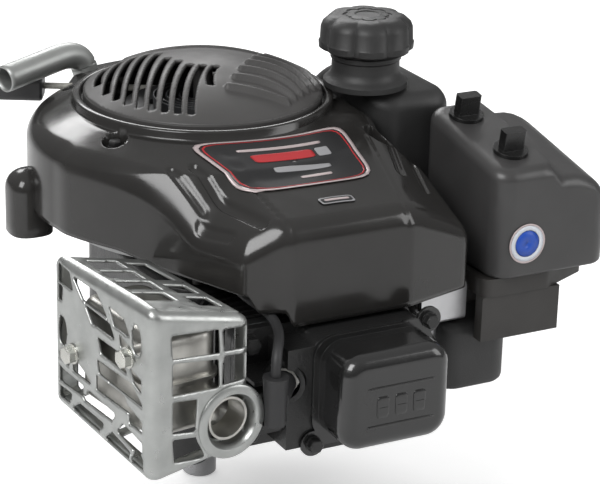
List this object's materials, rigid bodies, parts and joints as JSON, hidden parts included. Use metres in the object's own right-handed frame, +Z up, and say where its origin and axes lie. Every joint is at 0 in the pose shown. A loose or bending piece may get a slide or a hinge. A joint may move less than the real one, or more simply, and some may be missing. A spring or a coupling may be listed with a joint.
{
  "type": "small gasoline engine",
  "caption": "Vertical-shaft air-cooled petrol engine with recoil starter, overhead valves, side fuel tank, boxed air cleaner, caged muffler and a shaft below a bolted sump.",
  "frame": {"origin": "crankshaft axis where it crosses the sump's mounting face", "axes": "+Z up the crankshaft, -Y along the cylinder to the valve cover, +X to the fuel tank and air cleaner"},
  "size_m": [0.3507, 0.3504, 0.311],
  "materials": {
    "cast_aluminium": "as-cast, light grit",
    "gasket_sheet": "pressed fibre sheet",
    "zinc_bolts": "zinc plated",
    "black_rubber": "dull moulded rubber",
    "machined_steel": "turned and ground",
    "pressed_steel": "pressed, zinc plated",
    "rod_aluminium": "machined die casting",
    "ring_iron": "ground iron",
    "spring_steel": "oil tempered",
    "valve_cover_paint": "gloss black enamel",
    "housing_plastic": "polished black moulding",
    "screen_plastic": "matt dark grey moulding",
    "flywheel_casting": "die cast",
    "starter_plastic": "matt black moulding",
    "rope_fibre": "braided cord",
    "tube_steel": "thin bent steel tube",
    "coil_resin": "potted coil",
    "plug_ceramic": "glazed insulator",
    "tank_plastic": "grained black moulding",
    "cleaner_plastic": "satin dark grey moulding",
    "base_plastic": "matt brown-grey moulding",
    "knob_plastic": "black moulding",
    "filter_paper": "pleated paper",
    "filler_plastic": "black nylon",
    "aluminised_steel": "aluminised sheet",
    "guard_steel": "bright plated stamping"
  },
  "bodies": {
    "engine": {"crankcase": "cast_aluminium", "sump": "cast_aluminium", "cylinder_head": "cast_aluminium", "intake_manifold": "cast_aluminium", "sump_gasket": "gasket_sheet", "head_gasket": "gasket_sheet", "sump_bolts": "zinc_bolts", "head_bolts": "zinc_bolts", "valve_cover_bolts": "zinc_bolts", "housing_screws": "zinc_bolts", "guard_bolts": "zinc_bolts", "oil_seals": "black_rubber", "fuel_line": "black_rubber", "plug_boot": "black_rubber", "ignition_lead": "black_rubber", "rocker_studs": "machined_steel", "carburetor": "rod_aluminium", "valve_springs": "spring_steel", "rewind_spring": "spring_steel", "valve_cover": "valve_cover_paint", "blower_housing": "housing_plastic", "starter_cover": "screen_plastic", "starter_rope": "rope_fibre", "rear_guard_tube": "tube_steel", "ignition_coil": "coil_resin", "spark_plug": "plug_ceramic", "fuel_tank": "tank_plastic", "air_cleaner_base": "base_plastic", "air_filter": "filter_paper", "oil_fill_tube": "filler_plastic", "muffler": "aluminised_steel", "muffler_guard": "guard_steel"},
    "crank": {"crankshaft": "machined_steel", "flywheel": "flywheel_casting", "flywheel_nut": "machined_steel", "starter_cup": "pressed_steel"},
    "cam": {"camshaft": "machined_steel"},
    "piston": {"piston": "rod_aluminium", "piston_rings": "ring_iron", "wrist_pin": "machined_steel"},
    "rod": {"connecting_rod": "rod_aluminium", "rod_cap": "rod_aluminium", "crankpin": "machined_steel"},
    "intake_rocker": {"intake_rocker": "pressed_steel"},
    "intake_valve": {"intake_valve": "machined_steel"},
    "intake_lifter": {"intake_pushrod": "machined_steel", "intake_tappet": "machined_steel"},
    "exhaust_rocker": {"exhaust_rocker": "pressed_steel"},
    "exhaust_valve": {"exhaust_valve": "machined_steel"},
    "exhaust_lifter": {"exhaust_pushrod": "machined_steel", "exhaust_tappet": "machined_steel"},
    "starter_handle": {"starter_handle": "starter_plastic"},
    "starter_pulley": {"starter_pulley": "starter_plastic"},
    "fuel_cap": {"fuel_cap": "tank_plastic"},
    "air_cleaner_cover": {"air_cleaner_cover": "cleaner_plastic"},
    "front_knob": {"front_knob": "knob_plastic"},
    "rear_knob": {"rear_knob": "knob_plastic"},
    "throttle_lever": {"throttle_lever": "pressed_steel"},
    "governor_lever": {"governor_lever": "pressed_steel"},
    "dipstick": {"dipstick": "filler_plastic"}
  },
  "joints": [
    {"name": "crank", "type": "hinge", "parent": "engine", "child": "crank", "pos_m": [0, 0, 0], "axis": [0, 0, 1], "continuous": true},
    {"name": "cam", "type": "hinge", "parent": "engine", "child": "cam", "pos_m": [0.054, -0.03795, 0], "axis": [0, 0, 1], "continuous": true},
    {"name": "piston", "type": "slide", "parent": "engine", "child": "piston", "axis": [0, 1, 0], "range_m": [0, 0.0518]},
    {"name": "rod", "type": "hinge", "parent": "piston", "child": "rod", "pos_m": [0, -0.1159, 0.071], "axis": [0, 0, 1], "range_deg": [-16.7, 16.7]},
    {"name": "intake_rocker", "type": "hinge", "parent": "engine", "child": "intake_rocker", "pos_m": [0.029, -0.19, 0.0855], "axis": [0, 0, -1], "range_deg": [0, 13.7]},
    {"name": "intake_valve", "type": "slide", "parent": "engine", "child": "intake_valve", "axis": [0, 1, 0], "range_m": [0, 0.0058], "deforming": ["valve_springs"]},
    {"name": "intake_lifter", "type": "slide", "parent": "engine", "child": "intake_lifter", "axis": [0, -1, 0], "range_m": [0, 0.006]},
    {"name": "exhaust_rocker", "type": "hinge", "parent": "engine", "child": "exhaust_rocker", "pos_m": [0.029, -0.19, 0.0565], "axis": [0, 0, -1], "range_deg": [0, 13.7]},
    {"name": "exhaust_valve", "type": "slide", "parent": "engine", "child": "exhaust_valve", "axis": [0, 1, 0], "range_m": [0, 0.0058], "deforming": ["valve_springs"]},
    {"name": "exhaust_lifter", "type": "slide", "parent": "engine", "child": "exhaust_lifter", "axis": [0, -1, 0], "range_m": [0, 0.006]},
    {"name": "starter_pull", "type": "slide", "parent": "engine", "child": "starter_handle", "axis": [-0.8832, 0.4691, 0], "range_m": [0, 0.6], "deforming": ["starter_rope"]},
    {"name": "starter_pulley", "type": "hinge", "parent": "engine", "child": "starter_pulley", "pos_m": [0, 0, 0.19], "axis": [0, 0, 1], "continuous": true, "deforming": ["rewind_spring"]},
    {"name": "fuel_cap", "type": "hinge", "parent": "engine", "child": "fuel_cap", "pos_m": [0.099, -0.03, 0.24], "axis": [0, 0, 1], "range_deg": [0, 360]},
    {"name": "cover_lift", "type": "slide", "parent": "engine", "child": "air_cleaner_cover", "axis": [0, 0, 1], "range_m": [0, 0.12]},
    {"name": "front_knob", "type": "hinge", "parent": "air_cleaner_cover", "child": "front_knob", "pos_m": [0.147, -0.128, 0.18363], "axis": [0, -0.1822, 0.9833], "range_deg": [0, 90]},
    {"name": "rear_knob", "type": "hinge", "parent": "air_cleaner_cover", "child": "rear_knob", "pos_m": [0.144, -0.08, 0.19253], "axis": [0, -0.1822, 0.9833], "range_deg": [0, 90]},
    {"name": "throttle", "type": "hinge", "parent": "engine", "child": "throttle_lever", "pos_m": [0.095, -0.12, 0.092], "axis": [0, 0, 1], "range_deg": [0, 80]},
    {"name": "governor", "type": "hinge", "parent": "engine", "child": "governor_lever", "pos_m": [0.083, -0.082, 0.112], "axis": [0, 0, 1], "range_deg": [-15, 15]},
    {"name": "dipstick", "type": "slide", "parent": "engine", "child": "dipstick", "axis": [0, 0.5299, 0.848], "range_m": [0, 0.12]}
  ],
  "couplings": [
    {"joint": "cam", "follows": "crank", "ratio": -0.5},
    {"joint": "intake_valve", "follows": "intake_rocker", "m_per_rad": 0.0235},
    {"joint": "intake_lifter", "follows": "intake_rocker", "m_per_rad": 0.024},
    {"joint": "exhaust_valve", "follows": "exhaust_rocker", "m_per_rad": 0.0235},
    {"joint": "exhaust_lifter", "follows": "exhaust_rocker", "m_per_rad": 0.024},
    {"joint": "starter_pulley", "follows": "starter_pull", "rad_per_m": 21.739}
  ]
}
